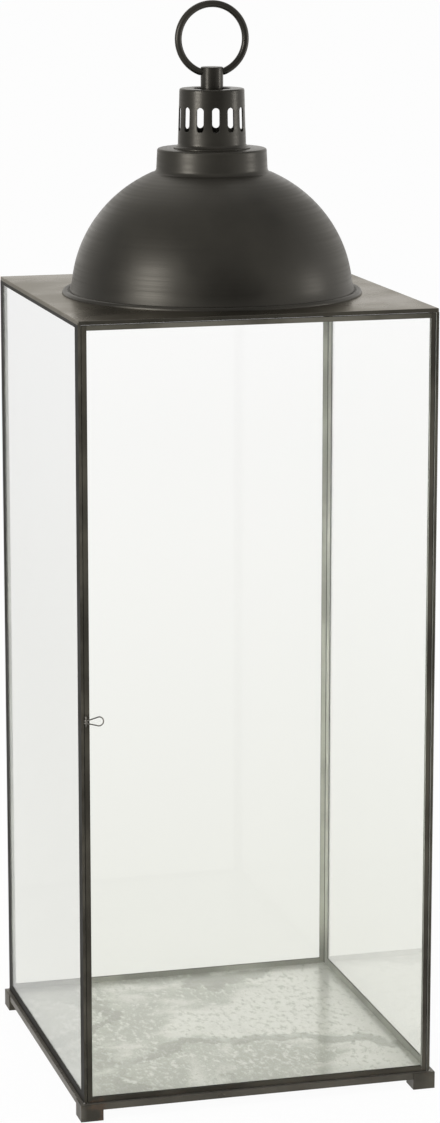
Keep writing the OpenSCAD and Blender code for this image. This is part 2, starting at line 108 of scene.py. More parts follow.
# %% [markdown]
# ## Building node trees in code
# Materials and Geometry Nodes are both trees of nodes. One small helper adds a node, sets its
# properties and fills its sockets, with a plain value or with another node's output. The others
# stand for the few nodes that come back in every tree, so that a finish reads like a sum.


# %% Node helpers
def add(tree, kind, inputs=None, **settings):
    """Adds a node. An input is a plain value, or another node's output, which is linked."""
    node = tree.nodes.new(kind)
    for key, value in settings.items():
        setattr(node, key, value)
    for key, value in (inputs or {}).items():
        if isinstance(value, bpy.types.NodeSocket):
            tree.links.new(value, node.inputs[key])
        else:
            node.inputs[key].default_value = value
    return node


def maths(tree, operation, first, second=0.0, clamp=False):
    node = add(tree, "ShaderNodeMath", {0: first, 1: second}, operation=operation, use_clamp=clamp)
    return node.outputs[0]


def times(tree, first, second):
    return maths(tree, "MULTIPLY", first, second)


def absolute(tree, value):
    return maths(tree, "ABSOLUTE", value)


def axes(tree, vector):
    """The vector's parts, as outputs X, Y and Z."""
    return add(tree, "ShaderNodeSeparateXYZ", {0: vector}).outputs


def spread(tree, value, low, high, to_low=0.0, to_high=1.0, smooth=True):
    """Maps low..high to to_low..to_high, held at both ends."""
    inputs = {"Value": value, "From Min": low, "From Max": high,
              "To Min": to_low, "To Max": to_high}
    kind = "SMOOTHSTEP" if smooth else "LINEAR"
    return add(tree, "ShaderNodeMapRange", inputs, interpolation_type=kind).outputs["Result"]


def noise(tree, vector, scale, detail, roughness=0.5, distortion=0.0):
    inputs = {"Vector": vector, "Scale": scale, "Detail": detail,
              "Roughness": roughness, "Distortion": distortion}
    return add(tree, "ShaderNodeTexNoise", inputs).outputs["Fac"]


def blend_colours(tree, amount, first, second):
    return add(tree, "ShaderNodeMix", {0: amount, 6: first, 7: second}, data_type="RGBA").outputs[2]


# %% [markdown]
# ## Effects that several finishes share
# Old blackened steel is never one colour, and its clouds, wear and rust come back on every sheet.
# Each effect is a shader node group with named inputs. It is built once, and every metal uses it
# at its own scale. All of them read Object coordinates, which are metres on the lantern itself,
# so that a pattern runs on from one piece to the next.


# %% Group helpers
FLOAT, VECTOR = "NodeSocketFloat", "NodeSocketVector"


def shader_group(name, inputs, outputs):
    """A group of shader nodes with named sockets: (label, kind, default)."""
    group = bpy.data.node_groups.new(name, "ShaderNodeTree")
    for label, kind, default in inputs:
        socket = group.interface.new_socket(label, in_out="INPUT", socket_type=kind)
        if default is not None:
            socket.default_value = default
    for label, kind in outputs:
        group.interface.new_socket(label, in_out="OUTPUT", socket_type=kind)
    given = group.nodes.new("NodeGroupInput").outputs
    out = group.nodes.new("NodeGroupOutput").inputs
    return group, given, out


def use_group(tree, group, inputs):
    return add(tree, "ShaderNodeGroup", inputs, node_tree=group).outputs


# %% [markdown]
# ### Clouds
# The blacking took unevenly, which leaves broad clouds and fine specks. Two noises make them,
# and each is stretched so that it reaches both of its ends. Painted maps would do it too, but
# they fix the scale, and here each metal needs its own.

# %% Clouds
BROAD_SPAN, FINE_SPAN = (0.35, 0.68), (0.3, 0.7)  # the noises' own low and high ends
clouds, given, out = shader_group(
    "Clouds",
    [("Vector", VECTOR, None), ("Scale", FLOAT, 8.0), ("Fine scale", FLOAT, 300.0)],
    [("Broad", FLOAT), ("Fine", FLOAT)],
)
broad = noise(clouds, given["Vector"], given["Scale"], 4.0)
fine = noise(clouds, given["Vector"], given["Fine scale"], 3.0)
clouds.links.new(spread(clouds, broad, *BROAD_SPAN), out["Broad"])
clouds.links.new(spread(clouds, fine, *FINE_SPAN), out["Fine"])
print("effect", clouds.name)

# %% [markdown]
# ### Rubbed corners
# Hands and cloths rub the upright corners paler. The corners stand at a known place, so the mask
# measures how far a point is from the nearest one, and a noise breaks it up.


# %% Rubbed corners
RUBBED_SPAN = 0.42, 0.62


def from_corner(tree, place, half_width):
    """How far a point is from the nearest upright corner: its steps along x and y, added."""
    spot = axes(tree, place)
    steps = [absolute(tree, maths(tree, "SUBTRACT", half_width, absolute(tree, spot[axis])))
             for axis in ("X", "Y")]
    return maths(tree, "ADD", *steps)


rubbed, given, out = shader_group(
    "Rubbed corners",
    [("Vector", VECTOR, None), ("Half width", FLOAT, 0.165), ("Reach", FLOAT, 0.004),
     ("Break up", FLOAT, 60.0)],
    [("Wear", FLOAT)],
)
near = maths(rubbed, "DIVIDE", from_corner(rubbed, given["Vector"], given["Half width"]),
             given["Reach"])
patches = noise(rubbed, given["Vector"], given["Break up"], 5.0)
edge = maths(rubbed, "SUBTRACT", 1.0, near, clamp=True)
rubbed.links.new(times(rubbed, edge, spread(rubbed, patches, *RUBBED_SPAN)), out["Wear"])
print("effect", rubbed.name)

# %% [markdown]
# ### Rust near the floor
# A little dull rust sits low down, and most of it at the near-left foot. The mask fades with
# height, a noise cuts it into blotches, and the sum of x and y tells how near that foot is,
# because the sum is smallest there.

# %% Rust near the floor
RUST_FADE = 0.0, 0.35  # the share of its height over which the rust fades out at the top
BLOTCH_SPAN = 0.50, 0.68
BLOTCH_MOST = 0.8
NEAR_LEFT_SUMS = -0.32, -0.24  # x + y at that foot, and where the rust has thinned out
RUST_ELSEWHERE = 0.25
rust, given, out = shader_group(
    "Low rust",
    [("Vector", VECTOR, None), ("Height", FLOAT, 0.024), ("Scale", FLOAT, 90.0)],
    [("Rust", FLOAT)],
)
spot = axes(rust, given["Vector"])
low = maths(rust, "SUBTRACT", 1.0, maths(rust, "DIVIDE", spot["Z"], given["Height"]), clamp=True)
blotch = noise(rust, given["Vector"], given["Scale"], 6.0)
amount = times(rust, spread(rust, low, *RUST_FADE),
               spread(rust, blotch, *BLOTCH_SPAN, 0.0, BLOTCH_MOST))
corner = spread(rust, maths(rust, "ADD", spot["X"], spot["Y"]), *NEAR_LEFT_SUMS,
                1.0, RUST_ELSEWHERE)
rust.links.new(times(rust, amount, corner), out["Rust"])
print("effect", rust.name)

# %% [markdown]
# ### Inner faces
# The channels were left bare inside the case, so faces that look towards its middle are pale
# grey, with a dark seam where two channels meet in a corner. A face looks inwards where its place
# and its normal point opposite ways, so the mask is the product of the two, and no face has to be
# picked by hand.

# %% Inner faces
INNER_FACE = 0.16  # about how far the inner faces lie from the middle, in metres
INWARD_SPAN = 0.8, 0.94
SEAM_SPAN = 0.5, 1.5
SEAM_PALE = 0.25
inner, given, out = shader_group(
    "Inner faces",
    [("Vector", VECTOR, None), ("Normal", VECTOR, None), ("Half width", FLOAT, 0.1624),
     ("Seam", FLOAT, 0.0006)],
    [("Inner", FLOAT)],
)
spot = axes(inner, given["Vector"])
faces = axes(inner, given["Normal"])
looks = [times(inner, times(inner, spot[axis], faces[axis]), -1 / INNER_FACE)
         for axis in ("X", "Y")]
inward = spread(inner, maths(inner, "MAXIMUM", *looks), *INWARD_SPAN)
seam = maths(inner, "DIVIDE", from_corner(inner, given["Vector"], given["Half width"]),
             given["Seam"])
beside_seam = spread(inner, seam, *SEAM_SPAN, SEAM_PALE, 1.0)
inner.links.new(times(inner, inward, beside_seam), out["Inner"])
print("effect", inner.name)

# %% [markdown]
# ### Spinning marks
# A lathe leaves fine rings. The noise is read only in radius and height, and not round the axis,
# so that it comes out as rings on the dome, the collar and the chimney alike.

# %% Spinning marks
spun, given, out = shader_group(
    "Spinning marks",
    [("Vector", VECTOR, None), ("Rings per metre", FLOAT, 900.0)],
    [("Height", FLOAT)],
)
spot = axes(spun, given["Vector"])
flat = add(spun, "ShaderNodeCombineXYZ", {"X": spot["X"], "Y": spot["Y"]}).outputs[0]
radius = add(spun, "ShaderNodeVectorMath", {0: flat}, operation="LENGTH").outputs["Value"]
section = add(spun, "ShaderNodeCombineXYZ", {"X": radius, "Y": spot["Z"]}).outputs[0]
spun.links.new(noise(spun, section, given["Rings per metre"], 2.0), out["Height"])
print("effect", spun.name)

# %% [markdown]
# ## Blackened steel
# The case is thin steel with a warm black finish: nearly black by itself, but glossy enough to
# pick up the white studio at a glancing view. One function makes all its variants, because they
# differ only in tone, gloss, wear and painted light. The frame and the rails have painted shade on
# their side faces, are bare inside the case and have painted shade low down inside it. The heads
# and the door's top rail are a paler copy of the frame, as painted light. The tray's ledge has a
# painted highlight on its upward faces, and the plate is the smoothest. The spun finish has the
# lathe's marks, and the stem and the ring share it.

# %% Tones of the steel
SPUN_TONES = (0.0135, 0.0125, 0.0100, 1), (0.030, 0.0278, 0.0225, 1)
FRAME_TONES = (0.034, 0.0312, 0.0245, 1), (0.078, 0.072, 0.057, 1)
# Painted light: the heads and the door's top rail take these paler tones.
LIT_RAIL_TONES = (0.070, 0.066, 0.052, 1), (0.135, 0.128, 0.105, 1)
# Rubbed corners wear to this pale, and the tray's ledge takes it as a painted highlight.
RUBBED_AND_LIT_PALE = (0.16, 0.15, 0.13, 1)
# Painted shade for the channels' faces that turn left or right.
SIDE_SHADE = (0.004, 0.0036, 0.0028, 1)
INNER_GREY = (0.66, 0.675, 0.60, 1)
WARM_SHEEN = (1.0, 0.94, 0.84, 1)
RUST_BROWN = (0.085, 0.055, 0.037, 1)
CASE_CORNER = 165.0 * MM  # from the middle to a corner, along x or y
CORNER_REACH = 4.0 * MM
FOOT_REACH = 6.0 * MM
PLATE_REACH = 8.0 * MM
FINE_SPECKS = 420.0
SPUN_RINGS = 380.0
MARKS_SPAN = 0.3, 0.7
MARKS_ROUGHNESS = 0.035
SMOOTHER_BY, ROUGHER_BY = 0.05, 0.07  # between the clouds
FACING_SPAN = 0.6, 0.9  # a normal's part along an axis, from turned away to turned to it
SIDE_SHADE_SHARE = 0.85
# Painted shade: the inner faces are darker low down, beside the deck.
LOW_SHADE_LEVELS = 4 * MM, 50 * MM  # above the deck, where the inner faces go from dull to pale
LOW_SHADE_SHARE = 0.62
DULL_SHARE = 0.75  # how much of the pale grey is left in the darkest cloud
print("blackest steel", SPUN_TONES[0][:3], "palest", LIT_RAIL_TONES[1][:3])


# %% Blackened steel
def new_material(name):
    """A material, its tree, its shader and the coordinates that its pattern may read."""
    material = bpy.data.materials.new(name)
    material.use_nodes = True
    tree = material.node_tree
    return material, tree, tree.nodes["Principled BSDF"], add(tree, "ShaderNodeTexCoord").outputs


def bump(tree, shader, height, distance, strength):
    node = add(tree, "ShaderNodeBump",
               {"Height": height, "Distance": distance, "Strength": strength})
    tree.links.new(node.outputs["Normal"], shader.inputs["Normal"])


def blackened_steel(name, tones, cloud_scale, roughness, gloss=0.5, metal=0.35, is_spun=False,
                    bare_inside_with_shade=False, corner_half=CASE_CORNER, corner_reach=CORNER_REACH,
                    rubbed_by=0.55, ledge_highlight=0.0):
    material, tree, shader, coordinates = new_material(name)
    place, facing = coordinates["Object"], coordinates["Normal"]
    mottle = use_group(tree, clouds,
                       {"Vector": place, "Scale": cloud_scale, "Fine scale": FINE_SPECKS})
    colour = blend_colours(tree, mottle["Broad"], *tones)
    if not is_spun:
        worn = use_group(tree, rubbed,
                         {"Vector": place, "Half width": corner_half, "Reach": corner_reach})
        colour = blend_colours(tree, times(tree, worn["Wear"], rubbed_by), colour, RUBBED_AND_LIT_PALE)
        low_rust = use_group(tree, rust, {"Vector": place})["Rust"]
        colour = blend_colours(tree, low_rust, colour, RUST_BROWN)
    # Painted highlight: the faces that turn upwards are made paler.
    if ledge_highlight:
        level = spread(tree, axes(tree, facing)["Z"], *FACING_SPAN, 0.0, ledge_highlight)
        colour = blend_colours(tree, level, colour, RUBBED_AND_LIT_PALE)
    shader.inputs["Metallic"].default_value = metal
    if bare_inside_with_shade:
        # Painted shade: faces turned left or right are darkened.
        sideways = absolute(tree, axes(tree, facing)["X"])
        painted_side_shade = spread(tree, sideways, *FACING_SPAN, 0.0, SIDE_SHADE_SHARE)
        colour = blend_colours(tree, painted_side_shade, colour, SIDE_SHADE)
        bare = use_group(tree, inner, {"Vector": place, "Normal": facing})["Inner"]
        # Painted shade: the inner faces darken towards the deck.
        low_shade = spread(tree, axes(tree, place)["Z"], deck_top + LOW_SHADE_LEVELS[0],
                      deck_top + LOW_SHADE_LEVELS[1], LOW_SHADE_SHARE, 1.0)
        dull = times(tree, spread(tree, mottle["Broad"], 0.0, 1.0, DULL_SHARE, 1.0), low_shade)
        colour = blend_colours(tree, times(tree, bare, dull), colour, INNER_GREY)
        tree.links.new(spread(tree, bare, 0.0, 1.0, metal, 0.0), shader.inputs["Metallic"])
    tree.links.new(colour, shader.inputs["Base Color"])
    rough = spread(tree, mottle["Broad"], 0.0, 1.0, roughness - SMOOTHER_BY, roughness + ROUGHER_BY)
    shader.inputs["Specular IOR Level"].default_value = gloss
    shader.inputs["Specular Tint"].default_value = WARM_SHEEN
    if is_spun:
        marks = use_group(tree, spun, {"Vector": place, "Rings per metre": SPUN_RINGS})["Height"]
        ridges = spread(tree, marks, *MARKS_SPAN, -MARKS_ROUGHNESS, MARKS_ROUGHNESS)
        rough = maths(tree, "ADD", rough, ridges)
        bump(tree, shader, marks, 0.1 * MM, 0.4)
    else:
        bump(tree, shader, mottle["Fine"], 0.08 * MM, 0.4)
    tree.links.new(rough, shader.inputs["Roughness"])
    return material


# %% The blackened steels
frame_black = blackened_steel("frame_black", FRAME_TONES, 14.0, 0.55, gloss=0.12, metal=0.05,
                              bare_inside_with_shade=True, rubbed_by=0.2)
lit_rail_black = blackened_steel("lit_rail_black", LIT_RAIL_TONES, 16.0, 0.55, gloss=0.12, metal=0.05,
                             bare_inside_with_shade=True)
foot_black = blackened_steel("foot_black", FRAME_TONES, 22.0, 0.42, gloss=0.4, metal=0.2,
                             corner_half=foot_out, corner_reach=FOOT_REACH)
tray_black = blackened_steel("tray_black", FRAME_TONES, 18.0, 0.32, gloss=0.7,
                             corner_half=foot_out, corner_reach=FOOT_REACH, ledge_highlight=0.9)
plate_black = blackened_steel("plate_black", FRAME_TONES, 9.0, 0.27, gloss=0.8, metal=0.8,
                              corner_reach=PLATE_REACH)
spun_black = blackened_steel("spun_black", SPUN_TONES, 7.0, 0.35, is_spun=True)
steels = frame_black, lit_rail_black, foot_black, tray_black, plate_black, spun_black
print("blackened steels", [steel.name for steel in steels])

# %% [markdown]
# ## Plain steel wire and solder
# The pull, the staple, the screw and the pivot pins are bare steel that has dulled. Solder is
# paler and softer looking. Both are the same few nodes, so one function makes them.


# %% Bare metals
BARE_SPECKS = 900.0
BARE_METALLIC = 0.9


def bare_metal(name, dark, pale, roughness, scale):
    material, tree, shader, coordinates = new_material(name)
    mottle = use_group(tree, clouds,
                       {"Vector": coordinates["Object"], "Scale": scale,
                        "Fine scale": BARE_SPECKS})
    tree.links.new(blend_colours(tree, mottle["Broad"], dark, pale), shader.inputs["Base Color"])
    rough = spread(tree, mottle["Fine"], 0.0, 1.0, roughness - 0.06, roughness + 0.1)
    tree.links.new(rough, shader.inputs["Roughness"])
    shader.inputs["Metallic"].default_value = BARE_METALLIC
    bump(tree, shader, mottle["Fine"], 0.04 * MM, 0.3)
    return material


wire_steel = bare_metal("wire_steel", (0.10, 0.095, 0.085, 1), (0.24, 0.225, 0.20, 1), 0.34, 120.0)
solder_grey = bare_metal("solder_grey", (0.16, 0.15, 0.135, 1), (0.42, 0.40, 0.37, 1), 0.38, 260.0)
print("bare metals", [metal.name for metal in (wire_steel, solder_grey)])

# %% [markdown]
# ## The zinc floor
# The floor sheet is old galvanised zinc: pale patches with torn grey borders, a fine bright grain,
# a few dark veins and a rim that is darker beside the channels. The grey gains ground
# towards the left, as it does in the photograph. The veins lie where a slow noise crosses its
# middle value, and the grain is added to each pattern before its threshold, so that every border
# is ragged. Noise suits it better than cells would, because the crystals have worn away.

# %% Zinc colours and scales
ZINC_PALE = (0.96, 0.965, 0.92, 1)
ZINC_BRIGHT = (1.0, 1.0, 0.97, 1)
ZINC_GREY = (0.62, 0.63, 0.575, 1)
ZINC_DARK = (0.46, 0.47, 0.42, 1)
GRAIN_SCALE, PATCH_SCALE, VEIN_SCALE = 190.0, 7.0, 3.2
GRAIN_STRETCH = (1.0, 0.5, 1.0)  # the grain is twice as long from front to back
GRAIN_LIFT = 0.45
BRIGHT_GRAIN, GREY_GRAIN, GRAIN_SHARE = (0.50, 0.62), (0.38, 0.50), 0.75
GREY_LEFTWARDS = 0.9  # per metre
TORN_SPAN, TORN_SHARE = (0.475, 0.525), 0.9
VEIN_SPAN, VEIN_SHARE, VEIN_PATCHES = (0.014, 0.026), 0.6, (0.36, 0.52)
RIM_SPAN, RIM_SHARE = (0.125, 0.165), 0.3
ZINC_ROUGH, ZINC_SMOOTH, ZINC_METALLIC = 0.26, 0.12, 0.25
print("zinc grain", round(1000 / GRAIN_SCALE, 1), "mm, patches", round(1000 / PATCH_SCALE), "mm")


# %% Zinc
def zinc_sheet():
    material, tree, shader, coordinates = new_material("zinc_mottled")
    place = coordinates["Object"]
    spot = axes(tree, place)
    drawn = add(tree, "ShaderNodeMapping", {"Vector": place, "Scale": GRAIN_STRETCH}).outputs[0]
    grain = noise(tree, drawn, GRAIN_SCALE, 5.0, roughness=0.75)
    lift = times(tree, maths(tree, "SUBTRACT", grain, 0.5), GRAIN_LIFT)
    patch = noise(tree, place, PATCH_SCALE, 4.0, roughness=0.55, distortion=0.4)
    handled = maths(tree, "SUBTRACT", maths(tree, "ADD", patch, lift),
                    times(tree, spot["X"], GREY_LEFTWARDS))
    torn = spread(tree, handled, *TORN_SPAN, 0.0, TORN_SHARE)
    slow = noise(tree, place, VEIN_SCALE, 6.0, roughness=0.5, distortion=0.3)
    ridge = absolute(tree, maths(tree, "SUBTRACT", slow, 0.5))
    ragged = maths(tree, "ADD", ridge, times(tree, lift, 0.10))
    vein = times(tree, spread(tree, ragged, *VEIN_SPAN, VEIN_SHARE, 0.0),
                 spread(tree, patch, *VEIN_PATCHES))
    rim = maths(tree, "MAXIMUM", absolute(tree, spot["X"]), absolute(tree, spot["Y"]))
    rim = maths(tree, "ADD", rim, times(tree, lift, 0.2))
    rim = spread(tree, rim, *RIM_SPAN, 0.0, RIM_SHARE)
    bright = spread(tree, grain, *BRIGHT_GRAIN, 0.0, GRAIN_SHARE)
    grey = spread(tree, grain, *GREY_GRAIN, GRAIN_SHARE, 0.0)
    colour = blend_colours(tree, torn, ZINC_PALE, ZINC_GREY)
    colour = blend_colours(tree, bright, colour, ZINC_BRIGHT)
    colour = blend_colours(tree, grey, colour, ZINC_GREY)
    colour = blend_colours(tree, vein, colour, ZINC_DARK)
    colour = blend_colours(tree, rim, colour, ZINC_DARK)
    tree.links.new(colour, shader.inputs["Base Color"])
    rough = spread(tree, grain, *FINE_SPAN, ZINC_ROUGH, ZINC_SMOOTH)
    tree.links.new(rough, shader.inputs["Roughness"])
    shader.inputs["Metallic"].default_value = ZINC_METALLIC
    bump(tree, shader, grain, 0.08 * MM, 0.2)
    return material


zinc_mottled = zinc_sheet()
print("zinc", len(zinc_mottled.node_tree.nodes), "nodes")

# %% [markdown]
# ## Glass
# Window glass is clear, and its colour is painted a little darker and warmer towards the floor, as
# painted shade. Its transmission and metallic are plain values, so that it stays glass wherever the
# lantern is used. The index is under that of window glass, so that the panes mirror as faintly
# as they do in the photograph.

# %% Glass
GLASS_HIGH = (0.995, 0.995, 0.993, 1)
GLASS_LOW_SHADED = (0.900, 0.905, 0.868, 1)
GLASS_INDEX = 1.30


def window_glass():
    material, tree, shader, coordinates = new_material("window_glass")
    height = axes(tree, coordinates["Object"])["Z"]
    # Painted shade: darker and warmer towards the floor.
    low_shade_tint = spread(tree, height, deck_top, plate_top, 1.0, 0.0, smooth=False)
    tree.links.new(blend_colours(tree, low_shade_tint, GLASS_HIGH, GLASS_LOW_SHADED), shader.inputs["Base Color"])
    shader.inputs["Transmission Weight"].default_value = 1.0
    shader.inputs["Roughness"].default_value = 0.0
    shader.inputs["IOR"].default_value = GLASS_INDEX
    return material


glass = window_glass()
print("glass, clear to painted shade from", round(plate_top, 3), "down to", round(deck_top, 3))

# %% [markdown]
# ## Dressing folded sheet
# A folded edge is never sharp: it catches a thin line of light. Each folded piece is therefore
# copied from its measured node, its loose triangles are joined, and a small bevel rounds every
# edge. Weighted normals keep the broad faces flat, so that their reflections stay straight. The
# copy stands for the node, on the same body. A sheet modelled afresh could only move a fold from
# where it was measured.

# %% Mesh helpers
SAME_POINT = 1e-6
FLAT_WITHIN = 0.4  # degrees
SHARP_FOLD = 32.0  # degrees, past which an edge is drawn sharp
ROUNDED_PAST = 40.0  # degrees, past which an edge is rounded
ROUNDING_STEPS = 2
FLAT_WEIGHT = 100  # broad faces decide where a normal points


def new_piece(name, mesh):
    piece = bpy.data.objects.new(name, mesh)
    bpy.context.scene.collection.objects.link(piece)
    return piece


def finish_mesh(mesh, material, sharp_angle=SHARP_FOLD):
    mesh.materials.clear()
    mesh.materials.append(material)
    mesh.polygons.foreach_set("use_smooth", [True] * len(mesh.polygons))
    mesh.set_sharp_from_angle(angle=math.radians(sharp_angle))
    mesh.update()


def joined_copy(node):
    """The node's mesh with its loose triangles joined."""
    mesh = frame["nodes"][node].data.copy()
    work = bmesh.new()
    work.from_mesh(mesh)
    bmesh.ops.remove_doubles(work, verts=work.verts, dist=SAME_POINT)
    bmesh.ops.dissolve_limit(work, angle_limit=math.radians(FLAT_WITHIN), verts=work.verts,
                             edges=work.edges)
    work.to_mesh(mesh)
    work.free()
    return mesh


def applied(piece):
    """The piece with its modifiers made into a plain mesh."""
    graph = bpy.context.evaluated_depsgraph_get()
    mesh = bpy.data.meshes.new_from_object(piece.evaluated_get(graph))
    piece.modifiers.clear()
    piece.data = mesh
    return piece


# %% Standing for a node
bodies = frame["record"]["behaviour"]["bodies"]


def stand_for(piece, node):
    """The piece takes the node's place, on its body."""
    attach(piece, next(name for name, nodes in bodies.items() if node in nodes))
    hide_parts(node)
    return piece


def dress(node, material, edge=0.0):
    piece = new_piece(node + "_dressed", joined_copy(node))
    finish_mesh(piece.data, material)
    if edge:
        rounding = piece.modifiers.new("edges", "BEVEL")
        rounding.width = edge
        rounding.segments = ROUNDING_STEPS
        rounding.limit_method = "ANGLE"
        rounding.angle_limit = math.radians(ROUNDED_PAST)
        flat = piece.modifiers.new("flat_faces", "WEIGHTED_NORMAL")
        flat.weight = FLAT_WEIGHT
        applied(piece)
    return stand_for(piece, node)


# %% Folded sheet pieces
FOLD_EDGE = 0.14 * MM
FOOT_EDGE = 0.35 * MM
SHEET_EDGE = 0.22 * MM
channels = [
    "left_front_post", "left_back_post", "right_front_post", "right_back_post",
    "left_sill", "left_head", "right_sill", "right_head",
    "back_left_stile", "back_right_stile", "back_sill", "back_head", "door_stop",
    "door_latch_stile", "door_hinge_stile", "door_bottom_rail", "door_top_rail",
]
feet = [node for node in frame["nodes"] if node.startswith("foot_")]
sheets = {"base_tray": tray_black, "top_plate": plate_black, "zinc_floor": zinc_mottled}
for node in channels:
    # The heads and the door's top rail take a paler copy of the frame's finish, as painted light.
    dress(node, lit_rail_black if node.endswith(("_head", "_top_rail")) else frame_black, FOLD_EDGE)
for node in feet:
    dress(node, foot_black, FOOT_EDGE)
for node, finish in sheets.items():
    dress(node, finish, SHEET_EDGE)
print("dressed", len(channels), "channels,", len(feet), "feet and", len(sheets), "sheets")

# %% [markdown]
# ## Spinning the dome
# A dome is pressed over a former on a lathe, so its shape is one profile turned round an axis.
# The profile is a rule: an elliptic curve with a flared foot and a rolled bead, a hollow fillet
# and a collar. Geometry Nodes turn any profile: a grid's rows are the turns and its columns are
# the profile's points, and each grid point is moved to its own place on the shell.


# %% Geometry tree helpers
INT, MATERIAL = "NodeSocketInt", "NodeSocketMaterial"


def geometry_tree(name, inputs):
    tree = bpy.data.node_groups.new(name, "GeometryNodeTree")
    tree.interface.new_socket("Geometry", in_out="INPUT", socket_type="NodeSocketGeometry")
    for label, kind, default in inputs:
        socket = tree.interface.new_socket(label, in_out="INPUT", socket_type=kind)
        if default is not None:
            socket.default_value = default
    tree.interface.new_socket("Geometry", in_out="OUTPUT", socket_type="NodeSocketGeometry")
    return tree, tree.nodes.new("NodeGroupInput").outputs, tree.nodes.new("NodeGroupOutput").inputs


def end_tree(tree, geometry, material, out):
    """Every tree ends with real geometry and its material."""
    real = add(tree, "GeometryNodeRealizeInstances", {"Geometry": geometry}).outputs[0]
    dressed = add(tree, "GeometryNodeSetMaterial", {"Geometry": real, "Material": material})
    tree.links.new(dressed.outputs[0], out["Geometry"])


def run_tree(piece, tree, inputs):
    """Runs a tree on the piece, with its inputs set by their sockets' identifiers."""
    modifier = piece.modifiers.new(tree.name, "NODES")
    modifier.node_group = tree
    sockets = [item for item in tree.interface.items_tree if item.item_type == "SOCKET"]
    for label, value in inputs.items():
        modifier[next(s.identifier for s in sockets if s.name == label)] = value
    return applied(piece)


# %% The lathe
SHARP_SPUN = 40.0


def lathe_tree():
    tree, given, out = geometry_tree("Lathe", [("Turns", INT, 160), ("Material", MATERIAL, None)])
    size = add(tree, "GeometryNodeAttributeDomainSize", {"Geometry": given["Geometry"]},
               component="MESH")
    count = size.outputs["Point Count"]
    grid = add(tree, "GeometryNodeMeshGrid", {"Vertices X": given["Turns"], "Vertices Y": count})
    index = add(tree, "GeometryNodeInputIndex").outputs[0]
    row = maths(tree, "MODULO", index, count)
    turn = maths(tree, "FLOOR", maths(tree, "DIVIDE", index, count))
    last_turn = maths(tree, "SUBTRACT", given["Turns"], 1.0)
    angle = times(tree, maths(tree, "DIVIDE", turn, last_turn), math.tau)
    here = add(tree, "GeometryNodeInputPosition").outputs[0]
    sample = add(tree, "GeometryNodeSampleIndex", data_type="FLOAT_VECTOR", domain="POINT")
    for label, value in (("Geometry", given["Geometry"]), ("Value", here), ("Index", row)):
        tree.links.new(value, sample.inputs[label])
    point = axes(tree, sample.outputs["Value"])
    across = times(tree, point["X"], maths(tree, "COSINE", angle))
    along = times(tree, point["X"], maths(tree, "SINE", angle))
    place = add(tree, "ShaderNodeCombineXYZ", {"X": across, "Y": along, "Z": point["Z"]}).outputs[0]
    moved = add(tree, "GeometryNodeSetPosition",
                {"Geometry": grid.outputs["Mesh"], "Position": place}).outputs[0]
    closed = add(tree, "GeometryNodeMergeByDistance",
                 {"Geometry": moved, "Distance": SAME_POINT}).outputs[0]
    end_tree(tree, closed, given["Material"], out)
    return tree


lathe = lathe_tree()


def path_mesh(name, points, closed=False):
    """Points joined in a row, for a tree to turn or to bend wire along."""
    edges = [(i, i + 1) for i in range(len(points) - 1)]
    if closed:
        edges.append((len(points) - 1, 0))
    mesh = bpy.data.meshes.new(name)
    mesh.from_pydata(points, edges, [])
    return mesh


def outward(mesh):
    """Joins the seam and turns every face outwards."""
    work = bmesh.new()
    work.from_mesh(mesh)
    bmesh.ops.remove_doubles(work, verts=work.verts, dist=SAME_POINT)
    bmesh.ops.recalc_face_normals(work, faces=work.faces)
    work.to_mesh(mesh)
    work.free()


def spin(name, points, material, turns):
    """A shell turned round the lantern's axis from a closed profile of (radius, height)."""
    piece = new_piece(name, path_mesh(name, [(r, 0.0, z) for r, z in points + points[:1]]))
    run_tree(piece, lathe, {"Turns": turns + 1, "Material": material})
    outward(piece.data)
    finish_mesh(piece.data, material, SHARP_SPUN)
    return piece


print("lathe tree", len(lathe.nodes), "nodes")

# %% The dome's sizes
DOME_RADIUS = 129.5 * MM
DOME_RISE = 121.5 * MM
DOME_SHEET = 1.2 * MM
FLARE_OUT = 3.0 * MM
FLARE_HEIGHT = 14.0 * MM
BEAD_WIDTH = 6.7 * MM
BEAD_HEIGHT = 3.4 * MM
BEAD_CREASE = 2.1 * MM
BEAD_END = 144.0  # degrees round the bead, from its outer side up and in
BEAD_STEPS = 12
COLLAR_RADIUS = 50.2 * MM
COLLAR_DRAFT = 0.8 * MM
COLLAR_FILLET = 5.0 * MM
COLLAR_RIM = 2.0 * MM
NECK_RADIUS = 28.5 * MM
ROUND_STEPS = 8
DOME_STEPS = 72
DOME_TURNS = 192
print("dome", round(2000 * DOME_RADIUS), "mm across, collar", round(2000 * COLLAR_RADIUS), "mm")


# %% The dome's profile
def arc(centre, radius, start, end, steps=ROUND_STEPS):
    """Points on an arc, with angles in degrees."""
    angles = [math.radians(start + (end - start) * i / steps) for i in range(steps + 1)]
    return [(centre[0] + radius * math.cos(a), centre[1] + radius * math.sin(a)) for a in angles]


def dome_radius(height):
    curve = DOME_RADIUS * math.sqrt(max(0.0, 1 - (height / DOME_RISE) ** 2))
    flare = FLARE_OUT * (1 - height / FLARE_HEIGHT) ** 2 if height < FLARE_HEIGHT else 0.0
    return curve + flare


def dome_wall(rise, low, high, inset):
    """Points up the wall, evenly spaced in angle from low to high."""
    angles = [low + (high - low) * i / DOME_STEPS for i in range(DOME_STEPS + 1)]
    return [(dome_radius(h) - inset, h) for h in (rise * math.sin(a) for a in angles)]


def dome_bead():
    """The rolled bead's upper side, from its outermost point in to the crease at the wall."""
    half = BEAD_WIDTH / 2
    middle = dome_radius(BEAD_CREASE) + half
    angles = [math.radians(BEAD_END * i / BEAD_STEPS) for i in range(BEAD_STEPS + 1)]
    return [(middle + half * math.cos(a), BEAD_HEIGHT * math.sin(a)) for a in angles]


